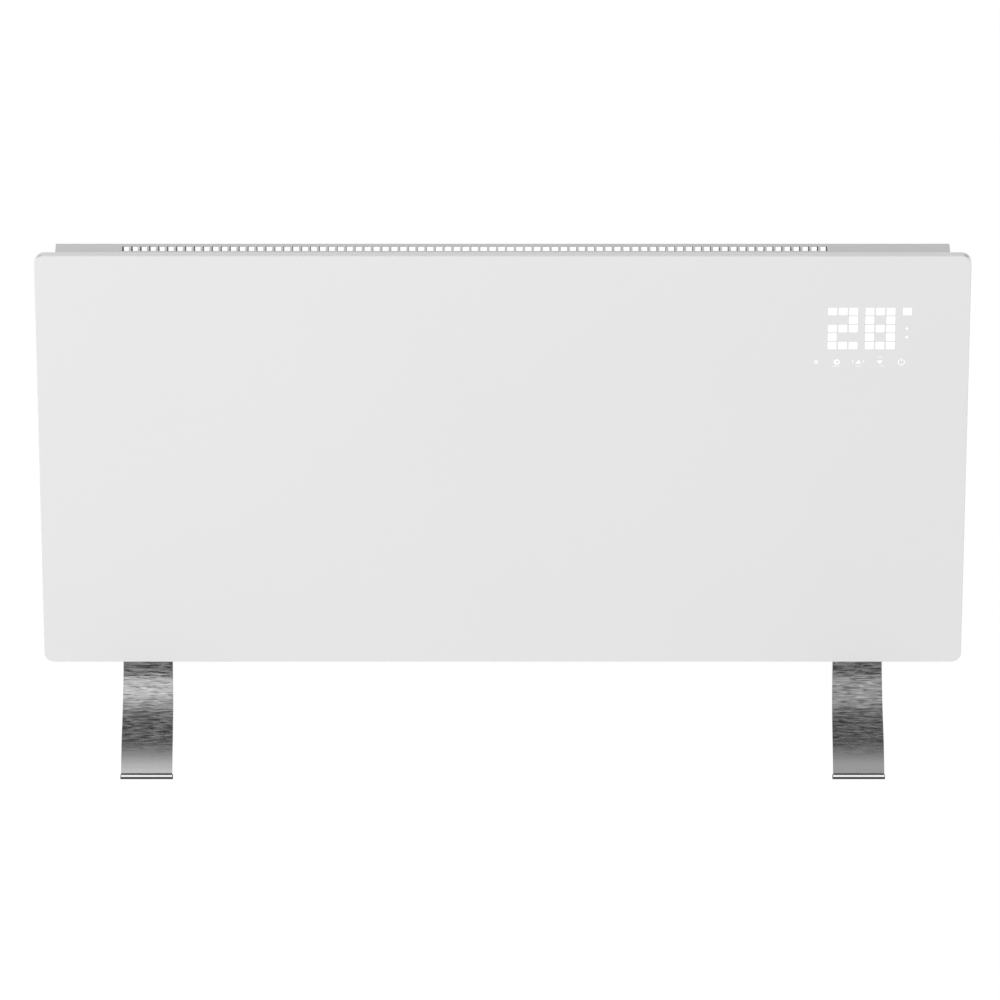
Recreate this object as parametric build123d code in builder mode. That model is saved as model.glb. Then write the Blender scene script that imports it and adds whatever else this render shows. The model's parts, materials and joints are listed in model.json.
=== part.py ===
"""Glass-fronted panel convector heater standing on two bent steel feet.

Millimetres, +Z up, the glass faces -Y. The origin is on the floor, under the middle of the
casing's depth and width.
"""
import os
from math import atan, cos, radians, sin, tan

from build123d import *

os.makedirs("parts", exist_ok=True)

# ---- driving dimensions: glass panel and its carrier ---------------------------------------
panel_width = 860.0
panel_height = 430.0
panel_floor_gap = 86.0
panel_corner_radius = 9.4
glass_thickness = 4.5
glass_bevel = 0.6
carrier_depth = 3.0
carrier_sheet = 1.0
tape_width = 18.0
tape_inset = 25.0

# ---- driving dimensions: casing -------------------------------------------------------------
casing_side_inset = 17.7
casing_depth = 75.5
casing_top_drop = 17.0
casing_bottom_rise = 6.0
casing_sheet = 0.8
casing_bend_radius = 3.0
least_bend_radius = 0.2
top_plate_depth = 49.5
slope_drop = 15.7
cap_flange = 12.0
cap_screw_margin = 25.0
carrier_bracket_sheet = 1.2
carrier_bracket_height = 24.0
carrier_bracket_depth = 22.0
carrier_bracket_foot = 20.0
carrier_bracket_low = 60.0
carrier_bracket_high = 45.0
side_screw_setback = 14.0
fit_gap = 0.2

# air outlet: rows of oblong holes in the top plate, and one row over the rear bend
outlet_rows = 3
outlet_pitch = 8.253
outlet_hole_width = 6.2
outlet_hole_depth = 10.0
outlet_row_web = 2.2
outlet_rear_margin = 4.5
outlet_left_margin = 61.5
rear_outlet_above_bend = 7.0
rear_outlet_below_bend = 10.3
rear_outlet_reach = 7.0

# air intake: rows of round-ended slots in the bottom plate
intake_margin = 35.0
intake_rows = 3
intake_slot_length = 30.0
intake_slot_width = 6.0
intake_pitch = 38.0
intake_row_pitch = 14.0

# slots in the rear wall that hang on the hooks of a wall bracket
hang_spacing_x = 400.0
hang_spacing_z = 270.0
hang_slot_length = 24.0
hang_slot_width = 6.5
hang_floor_height = 150.0

# ---- driving dimensions: feet ---------------------------------------------------------------
foot_from_side = 78.8
foot_reach = 115.75
foot_plate = 2.0
foot_width_floor = 48.0
foot_width_top = 46.4
foot_taper_low = 25.0
foot_taper_high = 70.0
toe_lip = 3.0
knee_setback = 18.1
knee_height = 17.7
waist_reach = 33.0
waist_height = 50.3
crown_half = 23.75
toe_radius = 2.5
knee_radius = 110.0
waist_radius = 75.0
crown_radius = 4.5
bend_fill = 0.96
pad_height = 2.5
pad_length = 4.5
pad_overhang = 0.6
foot_bolt_x = 30.0
foot_bolt_y = 16.0
foot_bolt_radius = 2.0
nut_plate_thickness = 3.0
foot_screw_tail = 1.0

# ---- driving dimensions: fasteners ----------------------------------------------------------
hole_gap = 0.15
screw_radius = 2.0
screw_head_radius = 3.8
screw_head_height = 2.2
screw_grip = 6.0
small_screw_radius = 1.5
small_head_radius = 2.8
small_head_height = 1.8

# ---- driving dimensions: display ------------------------------------------------------------
display_from_right = 57.9
display_from_top = 57.6
block_width = 7.8
block_height = 7.3
block_pitch_x = 9.7
block_pitch_z = 8.87
digit_pitch = 34.35
digit_count = 2
digit_columns = 3
digit_rows = 5
dot_radius = 1.5
touch_keys = 5
touch_pitch = 19.8
touch_drop = 17.2
touch_shift = 3.9
touch_hole_radius = 4.5
touch_spring_wall = 0.8
touch_spring_gap = 0.3
guide_depth = 6.0
guide_border = 4.6
window_gap = 0.5
board_thickness = 1.6
led_size = 3.0
led_height = 1.2
housing_wall = 2.0
housing_gap = 0.5
housing_post = 3.4
housing_ear = 9.0
housing_ear_thickness = 2.0

# ---- driving dimensions: heating compartment ------------------------------------------------
partition_foot_gap = 7.4
partition_sheet = 1.0
partition_flange = 12.0
partition_flange_overlap = 10.0
partition_gap = 2.4
shield_sheet = 0.8
shield_standoff = 10.0
shield_bottom_gap = 12.0
shield_top_gap = 125.0
shield_flange = 6.0
shield_tab_height = 40.0
shield_tab_margin = 70.0
shield_side_gap = 3.0
element_height = 75.0
element_spacing = 50.0
element_core_radius = 6.0
element_wing = 24.0
element_wing_thickness = 1.6
element_wing_angle = 40.0
rod_radius = 4.0
rod_overhang = 40.0
rod_gap = 0.1
pin_radius = 1.5
pin_length = 10.0
pin_wall_gap = 16.6
bush_radius = 8.0
bush_length = 14.0
bush_collar_radius = 11.0
bush_collar = 3.0
bracket_sheet = 1.2
bracket_offset = 15.0
bracket_margin = 24.0
bracket_flange = 15.0
cutout_radius = 8.0
cutout_height = 7.0
cutout_drop = 44.0
cutout_tag = 4.0
cutout_tag_reach = 6.0
cutout_tag_sheet = 0.8

# ---- driving dimensions: wiring -------------------------------------------------------------
lead_radius = 1.3
lead_bend = 5.0
grommet_radius = 3.0
grommet_flange_radius = 4.5
grommet_flange = 1.2
link_reach = 9.0
cutout_lead_rise = 10.0
cutout_lead_side = 6.0
ribbon_width = 14.0
ribbon_thickness = 1.0
ribbon_overlap = 9.0
ribbon_drop = 24.0
earth_stud_radius = 2.0
earth_stud_length = 10.0
earth_nut_radius = 4.0
earth_nut_height = 5.0
earth_stud_rise = 28.0

# ---- driving dimensions: electronics compartment --------------------------------------------
board_width = 74.0
board_height = 130.0
board_side_gap = 17.2
board_rise = 120.0
standoff_radius = 3.0
standoff_length = 8.0
standoff_inset = 6.0
relay_width = 16.0
relay_depth = 15.0
relay_height = 20.0
supply_width = 30.0
supply_depth = 20.0
supply_height = 36.0
buzzer_radius = 6.0
buzzer_depth = 8.0
header_width = 14.0
header_depth = 7.0
header_height = 9.0
terminal_width = 42.0
terminal_depth = 20.0
terminal_height = 18.0
terminal_rise = 45.0
terminal_poles = 3
gland_from_side = 27.3
gland_y = 15.0
gland_stem_radius = 8.0
gland_flange_radius = 11.0
gland_flange = 3.0
gland_dome = 7.0
gland_dome_radius = 6.5
gland_shoulder = 1.0
gland_stem = 13.0
gland_bore_radius = 3.6
gland_nut_height = 4.0

# rocker mains switch in the right side cap
switch_y = 5.0
switch_rise = 135.0
switch_cut_y = 22.0
switch_cut_z = 30.0
switch_flange = 2.5
switch_flange_thickness = 2.0
switch_depth = 19.0
switch_wall = 2.0
switch_cavity_depth = 9.0
switch_tag_length = 7.0
switch_tag_width = 4.8
switch_tag_sheet = 0.8
rocker_pivot_inset = 1.0
rocker_tilt = 11.0
rocker_half_length = 11.6
rocker_gap = 0.3
rocker_rise = 2.2
rocker_drop = 6.0
rocker_foot_half = 4.0
rocker_waist_drop = 1.0
rocker_waist_half = 10.8
rocker_pin_radius = 1.5
rocker_pin_gap = 0.08

# pendulum tip-over switch on the partition
tilt_drop = 105.0
tilt_y = 2.0
tilt_sheet = 1.2
tilt_width = 16.0
tilt_plate_half = 14.0
tilt_plate_above = 9.0
tilt_plate_below = 48.0
tilt_ear_below = 8.0
tilt_pin_radius = 1.5
tilt_pin_gap = 0.08
tilt_hub_radius = 3.5
tilt_hub_gap = 0.5
tilt_arm = 20.0
tilt_arm_width = 4.0
tilt_weight_radius = 7.0
tilt_weight_width = 9.0
tilt_flag_length = 10.0
tilt_flag_width = 5.0
tilt_flag_thickness = 1.0
fork_gap = 5.0
fork_prong = 3.0
fork_depth = 8.0
fork_base = 3.0
fork_flag_gap = 1.0

# room temperature sensor in a clip on the bottom plate
sensor_radius = 3.0
sensor_length = 20.0
sensor_clip_length = 10.0
sensor_clip_width = 12.0
sensor_clip_height = 14.0
sensor_y = 25.0
sensor_from_partition = 18.0

# ---- places worked out from the dimensions --------------------------------------------------
front_y = -(glass_thickness + carrier_depth + casing_depth / 2)
glass_back_y = front_y + glass_thickness
carrier_back_y = glass_back_y + carrier_depth
rear_y = carrier_back_y + casing_depth
inner_rear_y = rear_y - casing_sheet
panel_bottom = panel_floor_gap
panel_top = panel_bottom + panel_height
panel_middle = (panel_bottom + panel_top) / 2
casing_top = panel_top - casing_top_drop
casing_bottom = panel_bottom + casing_bottom_rise
inner_bottom = casing_bottom + casing_sheet
casing_x = panel_width / 2 - casing_side_inset
cap_inner_x = casing_x - casing_sheet
bend_y = carrier_back_y + top_plate_depth
bend_z = casing_top - slope_drop
slope_angle = atan(slope_drop / (rear_y - bend_y))

foot_xs = {"left": foot_from_side - casing_x, "right": casing_x - foot_from_side}
partition_x = foot_xs["right"] - foot_width_top / 2 - partition_foot_gap - partition_sheet
outlet_left = -casing_x + outlet_left_margin
outlet_room = partition_x - partition_gap - outlet_left
outlet_columns = int((outlet_room - outlet_hole_width) / outlet_pitch) + 1
outlet_span = (outlet_columns - 1) * outlet_pitch
outlet_x = outlet_left + (outlet_hole_width + outlet_span) / 2
outlet_row_pitch = outlet_hole_depth + outlet_row_web
outlet_y = bend_y - outlet_rear_margin - (outlet_hole_depth + (outlet_rows - 1) * outlet_row_pitch) / 2

shield_y = carrier_back_y + shield_standoff
shield_back_y = shield_y + shield_sheet
shield_bottom = casing_bottom + shield_bottom_gap
shield_top = casing_top - shield_top_gap
element_y = (shield_back_y + inner_rear_y) / 2
element_x = (partition_x - cap_inner_x) / 2
element_low_z = casing_bottom + element_height
element_zs = [element_low_z, element_low_z + element_spacing]
rod_end = (partition_x + cap_inner_x) / 2 - pin_wall_gap
rod_half = rod_end - pin_length
element_half = rod_half - rod_overhang
intake_left = foot_xs["left"] + foot_width_top / 2
intake_x = (intake_left + partition_x) / 2
intake_room = partition_x - intake_left - 2 * intake_margin
intake_columns = int((intake_room - intake_slot_length) / intake_pitch) + 1

display_right = panel_width / 2 - display_from_right
display_left = display_right - digit_count * digit_pitch
display_top = panel_top - display_from_top
display_bottom = display_top - (digit_rows - 1) * block_pitch_z
touch_z = display_bottom - touch_drop
touch_right = display_right - touch_shift
touch_xs = [touch_right - key * touch_pitch for key in range(touch_keys)]
guide_x = (
    touch_xs[-1] - touch_hole_radius - guide_border / 2,
    display_right + block_width / 2 + guide_border,
)
guide_z = (
    touch_z - touch_hole_radius - guide_border / 2,
    display_top + block_height / 2 + guide_border,
)
display_board_y = glass_back_y + guide_depth

board_middle = cap_inner_x - board_side_gap - board_width / 2
board_x = (board_middle - board_width / 2, board_middle + board_width / 2)
board_z = (casing_bottom + board_rise, casing_bottom + board_rise + board_height)
board_back_y = inner_rear_y - standoff_length
board_front_y = board_back_y - board_thickness
gland_x = casing_x - gland_from_side
switch_z = casing_bottom + switch_rise
tilt_z = casing_top - tilt_drop


def grow(span, margin):
    """A (low, high) pair widened by a margin at both ends."""
    return (span[0] - margin, span[1] + margin)


def slab(x, y, z, mode=Mode.ADD):
    """A box between the low and high value of each (low, high) pair."""
    with Locations((sum(x) / 2, sum(y) / 2, sum(z) / 2)):
        Box(x[1] - x[0], y[1] - y[0], z[1] - z[0], mode=mode)


def bar(radius, along, low, high, centre, mode=Mode.ADD):
    """A round bar along one axis, between two values of that axis, through a centre point."""
    turn = {"x": (0, 90, 0), "y": (90, 0, 0), "z": (0, 0, 0)}[along]
    point = list(centre)
    point["xyz".index(along)] = (low + high) / 2
    with Locations(tuple(point)):
        Cylinder(radius, high - low, rotation=turn, mode=mode)


def screw(along, seat, direction, centre, radius, head_radius, head_height, grip):
    """A pan head screw whose head rests on the plane at seat and whose shank points in direction."""
    head = sorted((seat, seat - direction * head_height))
    shank = sorted((seat, seat + direction * grip))
    bar(head_radius, along, head[0], head[1], centre)
    bar(radius, along, shank[0], shank[1], centre)


def fitting_radii(points, radii):
    """Each corner's bend radius, made smaller where two bends would not fit one straight run."""
    runs = [Vector(b) - Vector(a) for a, b in zip(points, points[1:])]
    turns = [a.get_angle(b) for a, b in zip(runs, runs[1:])]
    tangents = [radius * tan(radians(turn) / 2) for radius, turn in zip(radii, turns)]
    ends = [0, *tangents, 0]
    fills = [bend_fill * run.length / (a + b) for run, a, b in zip(runs, ends, ends[1:])]
    return [radius * min(1, *pair) for radius, *pair in zip(radii, fills, fills[1:])]


def save(piece, name):
    """Label a finished piece and write it under its name."""
    piece.part.label = name
    export_step(piece.part, f"parts/{name}.step")


def casing_outline(inset):
    """The casing's section (y, z), moved inwards, from the front top round to the front bottom."""
    shift_top = inset * tan(slope_angle / 2)
    shift_rear = inset * tan((radians(90) - slope_angle) / 2)
    return [
        (carrier_back_y, casing_top - inset),
        (bend_y - shift_top, casing_top - inset),
        (rear_y - inset, bend_z - shift_rear),
        (rear_y - inset, casing_bottom + inset),
        (carrier_back_y, casing_bottom + inset),
    ]


def casing_corners(inset, front_gap=0.0):
    """The corners inside that outline, and the radius of each, for a closed face."""
    bend = max(casing_bend_radius - inset, least_bend_radius)
    points = casing_outline(inset)
    points[0] = (points[0][0] + front_gap, points[0][1])
    points[-1] = (points[-1][0] + front_gap, points[-1][1])
    return points, [0, bend, bend, bend, 0]


# ---- glass panel and carrier ----------------------------------------------------------------
with BuildPart() as glass_front:
    with BuildSketch(Plane.XZ.offset(-front_y)):
        with Locations((0, panel_middle)):
            RectangleRounded(panel_width, panel_height, panel_corner_radius)
    extrude(amount=-glass_thickness)
    chamfer(glass_front.faces().sort_by(Axis.Y)[0].edges(), glass_bevel)
save(glass_front, "glass_front")

side_screw_zs = [casing_bottom + carrier_bracket_low, casing_top - carrier_bracket_high]
bracket_places = [(side, z) for side in (-1, 1) for z in side_screw_zs]
side_screw_y = carrier_back_y + side_screw_setback

with BuildPart() as panel_carrier:
    with BuildSketch(Plane.XZ.offset(-glass_back_y)):
        with Locations((0, panel_middle)):
            RectangleRounded(panel_width, panel_height, panel_corner_radius)
    extrude(amount=-carrier_depth)
    with BuildSketch(Plane.XZ.offset(-glass_back_y)):
        with Locations((0, panel_middle)):
            RectangleRounded(
                panel_width - 2 * carrier_sheet,
                panel_height - 2 * carrier_sheet,
                panel_corner_radius - carrier_sheet,
            )
    extrude(amount=-(carrier_depth - carrier_sheet), mode=Mode.SUBTRACT)
    slab(
        grow(guide_x, window_gap),
        (glass_back_y, carrier_back_y),
        grow(guide_z, window_gap),
        mode=Mode.SUBTRACT,
    )
save(panel_carrier, "panel_carrier")

tape_y = (glass_back_y, carrier_back_y - carrier_sheet)
tape_x = (-panel_width / 2 + tape_inset, panel_width / 2 - tape_inset)
with BuildPart() as adhesive_strips:
    for strip_z in (panel_bottom + tape_inset, panel_middle, panel_top - tape_inset):
        slab(tape_x, tape_y, (strip_z - tape_width / 2, strip_z + tape_width / 2))
save(adhesive_strips, "adhesive_strips")

with BuildPart() as carrier_brackets:
    for side, bracket_z in bracket_places:
        leg_z = (bracket_z - carrier_bracket_height / 2, bracket_z + carrier_bracket_height / 2)
        wall_x = sorted((side * cap_inner_x, side * (cap_inner_x - carrier_bracket_sheet)))
        foot_x = sorted((side * cap_inner_x, side * (cap_inner_x - carrier_bracket_foot)))
        slab(wall_x, (carrier_back_y, carrier_back_y + carrier_bracket_depth), leg_z)
        slab(foot_x, (carrier_back_y, carrier_back_y + carrier_bracket_sheet), leg_z)
        bar(
            screw_radius + hole_gap,
            "x",
            wall_x[0],
            wall_x[1],
            (0, side_screw_y, bracket_z),
            mode=Mode.SUBTRACT,
        )
save(carrier_brackets, "carrier_brackets")

# ---- casing ---------------------------------------------------------------------------------
cap_screw_x = casing_x - casing_sheet - cap_flange / 2
cap_screw_low = casing_bottom + cap_screw_margin
cap_screw_high = bend_z - cap_screw_margin
cap_screw_zs = [cap_screw_low, (cap_screw_low + cap_screw_high) / 2, cap_screw_high]
bracket_xs = {
    "left": element_x - element_half - bracket_offset,
    "right": element_x + element_half + bracket_offset,
}
bracket_screw_zs = [
    element_zs[0] - bracket_margin / 2,
    element_zs[-1] + bracket_margin / 2,
]
partition_screw_x = partition_x + partition_sheet + partition_flange / 2
rear_screw_points = [(side * cap_screw_x, z) for side in (-1, 1) for z in cap_screw_zs]
rear_screw_points += [(partition_screw_x, z) for z in cap_screw_zs]
rear_screw_points += [
    (x + turn * (bracket_sheet + bracket_flange) / 2, z)
    for turn, x in ((-1, bracket_xs["left"]), (1, bracket_xs["right"]))
    for z in bracket_screw_zs
]
foot_bolts = [
    (foot_x + sx * foot_bolt_x / 2, sy * foot_bolt_y / 2)
    for foot_x in foot_xs.values()
    for sx in (-1, 1)
    for sy in (-1, 1)
]

rear_outlet_height = rear_outlet_above_bend + rear_outlet_below_bend
rear_outlet_z = bend_z + (rear_outlet_above_bend - rear_outlet_below_bend) / 2
with BuildPart() as rear_cover:
    with BuildSketch(Plane.YZ.offset(-casing_x)):
        with BuildLine():
            centre_line_bend = casing_bend_radius - casing_sheet / 2
            FilletPolyline(*casing_outline(casing_sheet / 2), radius=centre_line_bend)
        trace(line_width=casing_sheet)
    extrude(amount=2 * casing_x)
    with BuildSketch(Plane.XY.offset(casing_bottom)):
        with Locations((intake_x, 0)):
            with GridLocations(intake_pitch, intake_row_pitch, intake_columns, intake_rows):
                SlotOverall(intake_slot_length, intake_slot_width)
        with Locations(*foot_bolts):
            Circle(foot_bolt_radius + hole_gap)
        with Locations((gland_x, gland_y)):
            Circle(gland_stem_radius + hole_gap)
    extrude(amount=casing_sheet, mode=Mode.SUBTRACT)
    with BuildSketch(Plane.XZ.offset(-rear_y)):
        with Locations((0, hang_floor_height + hang_spacing_z / 2)):
            with GridLocations(hang_spacing_x, hang_spacing_z, 2, 2):
                SlotOverall(hang_slot_length, hang_slot_width)
        with Locations(*rear_screw_points):
            Circle(small_screw_radius + hole_gap)
    extrude(amount=casing_sheet, mode=Mode.SUBTRACT)
    with Locations((outlet_x, outlet_y, casing_top)):
        with GridLocations(outlet_pitch, outlet_row_pitch, outlet_columns, outlet_rows):
            Box(outlet_hole_width, outlet_hole_depth, 4 * casing_sheet, mode=Mode.SUBTRACT)
    with Locations((outlet_x, rear_y, rear_outlet_z)):
        with GridLocations(outlet_pitch, 1, outlet_columns, 1):
            Box(outlet_hole_width, 2 * rear_outlet_reach, rear_outlet_height, mode=Mode.SUBTRACT)
save(rear_cover, "rear_cover")

switch_span_y = (switch_y - switch_cut_y / 2, switch_y + switch_cut_y / 2)
switch_span_z = (switch_z - switch_cut_z / 2, switch_z + switch_cut_z / 2)
for name, side in (("side_cap_left", -1), ("side_cap_right", 1)):
    inset = casing_sheet + fit_gap
    with BuildPart() as side_cap:
        with BuildSketch(Plane.YZ.offset(side * casing_x)):
            with BuildLine():
                corners, radii = casing_corners(inset)
                FilletPolyline(*corners, radius=radii, close=True)
            make_face()
        extrude(amount=-side * (casing_sheet + cap_flange))
        with BuildSketch(Plane.YZ.offset(side * cap_inner_x)):
            with BuildLine():
                corners, radii = casing_corners(inset + casing_sheet, front_gap=-casing_sheet)
                FilletPolyline(*corners, radius=radii, close=True)
            make_face()
        extrude(amount=-side * cap_flange, mode=Mode.SUBTRACT)
        for screw_z in cap_screw_zs:
            flange_y = rear_y - inset - casing_sheet
            centre = (side * cap_screw_x, 0, screw_z)
            bar(small_screw_radius + hole_gap, "y", flange_y, rear_y, centre, mode=Mode.SUBTRACT)
        for bracket_z in side_screw_zs:
            wall = sorted((side * cap_inner_x, side * casing_x))
            centre = (0, side_screw_y, bracket_z)
            bar(screw_radius + hole_gap, "x", wall[0], wall[1], centre, mode=Mode.SUBTRACT)
        if side > 0:
            slab(
                (cap_inner_x, casing_x),
                grow(switch_span_y, fit_gap),
                grow(switch_span_z, fit_gap),
                mode=Mode.SUBTRACT,
            )
    save(side_cap, name)

with BuildPart() as side_screws:
    for side, bracket_z in bracket_places:
        screw(
            "x",
            side * casing_x,
            -side,
            (0, side_screw_y, bracket_z),
            screw_radius,
            screw_head_radius,
            screw_head_height,
            screw_grip,
        )
save(side_screws, "side_screws")

with BuildPart() as rear_screws:
    for screw_x, screw_z in rear_screw_points:
        screw(
            "y",
            rear_y,
            -1,
            (screw_x, 0, screw_z),
            small_screw_radius,
            small_head_radius,
            small_head_height,
            screw_grip,
        )
save(rear_screws, "rear_screws")

# ---- feet -----------------------------------------------------------------------------------
crown_z = casing_bottom - foot_plate / 2
toe_z = pad_height + foot_plate / 2
half_path = [
    (foot_reach, toe_z),
    (foot_reach - toe_lip, toe_z),
    (foot_reach - knee_setback, knee_height),
    (waist_reach, waist_height),
    (crown_half, crown_z),
]
half_radii = [toe_radius, knee_radius, waist_radius, crown_radius]
foot_path = [(-y, z) for y, z in half_path] + half_path[::-1]
foot_radii = fitting_radii(foot_path, half_radii + half_radii[::-1])
for name, foot_x in foot_xs.items():
    with BuildPart() as foot:
        with BuildSketch(Plane.YZ.offset(foot_x - foot_width_floor / 2)):
            with BuildLine():
                FilletPolyline(*foot_path, radius=foot_radii)
            trace(line_width=foot_plate)
        extrude(amount=foot_width_floor)
        with BuildSketch(Plane.XZ.offset(-foot_reach)):
            with BuildLine():
                Polyline(
                    (foot_x - foot_width_floor / 2, 0),
                    (foot_x + foot_width_floor / 2, 0),
                    (foot_x + foot_width_floor / 2, foot_taper_low),
                    (foot_x + foot_width_top / 2, foot_taper_high),
                    (foot_x + foot_width_top / 2, casing_bottom),
                    (foot_x - foot_width_top / 2, casing_bottom),
                    (foot_x - foot_width_top / 2, foot_taper_high),
                    (foot_x - foot_width_floor / 2, foot_taper_low),
                    close=True,
                )
            make_face()
        extrude(amount=2 * foot_reach, mode=Mode.INTERSECT)
        for bolt_x, bolt_y in foot_bolts:
            centre = (bolt_x, bolt_y, 0)
            crown = (casing_bottom - foot_plate, casing_bottom)
            bar(foot_bolt_radius + hole_gap, "z", crown[0], crown[1], centre, mode=Mode.SUBTRACT)
    save(foot, f"{name}_foot")

    for end, sign in (("front", -1), ("rear", 1)):
        with BuildPart() as pad:
            pad_y = sorted((sign * foot_reach, sign * (foot_reach - pad_length)))
            pad_half = foot_width_floor / 2 + pad_overhang
            slab((foot_x - pad_half, foot_x + pad_half), pad_y, (0, pad_height))
        save(pad, f"{name}_{end}_foot_pad")

    with BuildPart() as nut_plate:
        slab(
            (foot_x - foot_width_top / 2, foot_x + foot_width_top / 2),
            (-crown_half, crown_half),
            (inner_bottom, inner_bottom + nut_plate_thickness),
        )
        for bolt_x, bolt_y in foot_bolts:
            bar(
                foot_bolt_radius,
                "z",
                inner_bottom,
                inner_bottom + nut_plate_thickness,
                (bolt_x, bolt_y, 0),
                mode=Mode.SUBTRACT,
            )
    save(nut_plate, f"{name}_foot_nut_plate")

with BuildPart() as foot_screws:
    for bolt_x, bolt_y in foot_bolts:
        screw(
            "z",
            casing_bottom - foot_plate,
            1,
            (bolt_x, bolt_y, 0),
            foot_bolt_radius,
            screw_head_radius,
            screw_head_height,
            foot_plate + casing_sheet + nut_plate_thickness + foot_screw_tail,
        )
save(foot_screws, "foot_screws")

# ---- display behind the glass ---------------------------------------------------------------
block_centres = [
    (display_left + digit * digit_pitch + column * block_pitch_x, display_top - row * block_pitch_z)
    for digit in range(digit_count)
    for column in range(digit_columns)
    for row in range(digit_rows)
]
block_centres.append((display_right, display_top))
dot_centres = [(display_right, display_top - row * block_pitch_z) for row in (2, 3, 4)]
touch_centres = [(x, touch_z) for x in touch_xs]

with BuildPart() as light_guide:
    slab(guide_x, (glass_back_y, display_board_y), guide_z)
    with BuildSketch(Plane.XZ.offset(-glass_back_y)):
        with Locations(*block_centres):
            Rectangle(block_width, block_height)
        with Locations(*dot_centres):
            Circle(led_size / 2 + dot_radius)
        with Locations(*touch_centres):
            Circle(touch_hole_radius)
    extrude(amount=-guide_depth, mode=Mode.SUBTRACT)
save(light_guide, "light_guide")

with BuildPart() as display_board:
    slab(guide_x, (display_board_y, display_board_y + board_thickness), guide_z)
save(display_board, "display_board")

with BuildPart() as display_leds:
    with Locations((0, display_board_y - led_height / 2, 0)):
        with Locations(*[(x, 0, z) for x, z in block_centres + dot_centres + touch_centres]):
            Box(led_size, led_height, led_size)
save(display_leds, "display_leds")

spring_radius = touch_hole_radius - touch_spring_gap
with BuildPart() as touch_springs:
    with BuildSketch(Plane.XZ.offset(-glass_back_y)):
        with Locations(*touch_centres):
            Circle(spring_radius)
            Circle(spring_radius - touch_spring_wall, mode=Mode.SUBTRACT)
    extrude(amount=-guide_depth)
save(touch_springs, "touch_springs")

cavity_x = grow(guide_x, housing_gap)
cavity_z = grow(guide_z, housing_gap)
housing_x = grow(cavity_x, housing_wall)
housing_z = grow(cavity_z, housing_wall)
display_back_y = display_board_y + board_thickness
cavity_back_y = display_back_y + housing_post
housing_back_y = cavity_back_y + housing_wall
ear_y = (carrier_back_y, carrier_back_y + housing_ear_thickness)
ear_points = [
    (x, z)
    for x in (housing_x[0] + housing_ear, housing_x[1] - housing_ear)
    for z in (housing_z[0] - housing_ear / 2, housing_z[1] + housing_ear / 2)
]
ribbon_x = board_middle
ribbon_y = display_back_y + ribbon_thickness / 2

with BuildPart() as display_housing:
    slab(housing_x, (carrier_back_y, housing_back_y), housing_z)
    for ear_x in (ear_points[0][0], ear_points[-1][0]):
        ear_span = (ear_x - housing_ear / 2, ear_x + housing_ear / 2)
        slab(ear_span, ear_y, grow(housing_z, housing_ear))
    slab(cavity_x, (carrier_back_y, cavity_back_y), cavity_z, mode=Mode.SUBTRACT)
    for post_x in (guide_x[0] + housing_post, guide_x[1] - housing_post):
        for post_z in (guide_z[0] + housing_post, guide_z[1] - housing_post):
            bar(housing_wall, "y", display_back_y, cavity_back_y, (post_x, 0, post_z))
    for ear_x, ear_z in ear_points:
        centre = (ear_x, 0, ear_z)
        bar(small_screw_radius + hole_gap, "y", ear_y[0], ear_y[1], centre, mode=Mode.SUBTRACT)
    slab(
        (ribbon_x - ribbon_width / 2 - fit_gap, ribbon_x + ribbon_width / 2 + fit_gap),
        (display_back_y, display_back_y + ribbon_thickness + fit_gap),
        (housing_z[0], cavity_z[0]),
        mode=Mode.SUBTRACT,
    )
save(display_housing, "display_housing")

with BuildPart() as display_screws:
    for ear_x, ear_z in ear_points:
        screw(
            "y",
            ear_y[1],
            -1,
            (ear_x, 0, ear_z),
            small_screw_radius,
            small_head_radius,
            small_head_height,
            housing_ear_thickness,
        )
save(display_screws, "display_screws")

# ---- partition, heat shield and heating elements --------------------------------------------
sensor_x = partition_x - sensor_from_partition
sensor_z = inner_bottom + sensor_clip_height / 2
cutout_z = shield_top - cutout_drop
cutout_face_y = shield_back_y + cutout_height
cutout_tag_xs = (element_x - cutout_tag, element_x + cutout_tag)
cutout_lead_y = cutout_face_y + cutout_tag_reach - cutout_tag / 2
cutout_lead_zs = [cutout_z, cutout_z + cutout_lead_rise]
grommet_points = [(element_y, z) for z in element_zs]
grommet_points += [(cutout_lead_y, z) for z in cutout_lead_zs]
grommet_points += [(sensor_y, sensor_z)]

with BuildPart() as partition:
    with BuildSketch(Plane.YZ.offset(partition_x)):
        with BuildLine():
            corners, radii = casing_corners(casing_sheet + fit_gap, front_gap=fit_gap)
            FilletPolyline(*corners, radius=radii, close=True)
        make_face()
    extrude(amount=partition_sheet)
    flange_back_y = inner_rear_y - fit_gap
    slab(
        (partition_x + partition_sheet, partition_x + partition_sheet + partition_flange),
        (flange_back_y - partition_sheet, flange_back_y),
        (cap_screw_low - partition_flange_overlap, cap_screw_high + partition_flange_overlap),
    )
    for screw_z in cap_screw_zs:
        bar(
            small_screw_radius + hole_gap,
            "y",
            flange_back_y - partition_sheet,
            flange_back_y,
            (partition_screw_x, 0, screw_z),
            mode=Mode.SUBTRACT,
        )
    slab(
        (partition_x, partition_x + partition_sheet),
        (carrier_back_y, housing_back_y + housing_gap),
        grow(housing_z, housing_ear + housing_gap),
        mode=Mode.SUBTRACT,
    )
    for lead_y, lead_z in grommet_points:
        bar(
            grommet_radius,
            "x",
            partition_x,
            partition_x + partition_sheet,
            (0, lead_y, lead_z),
            mode=Mode.SUBTRACT,
        )
save(partition, "partition")

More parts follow.
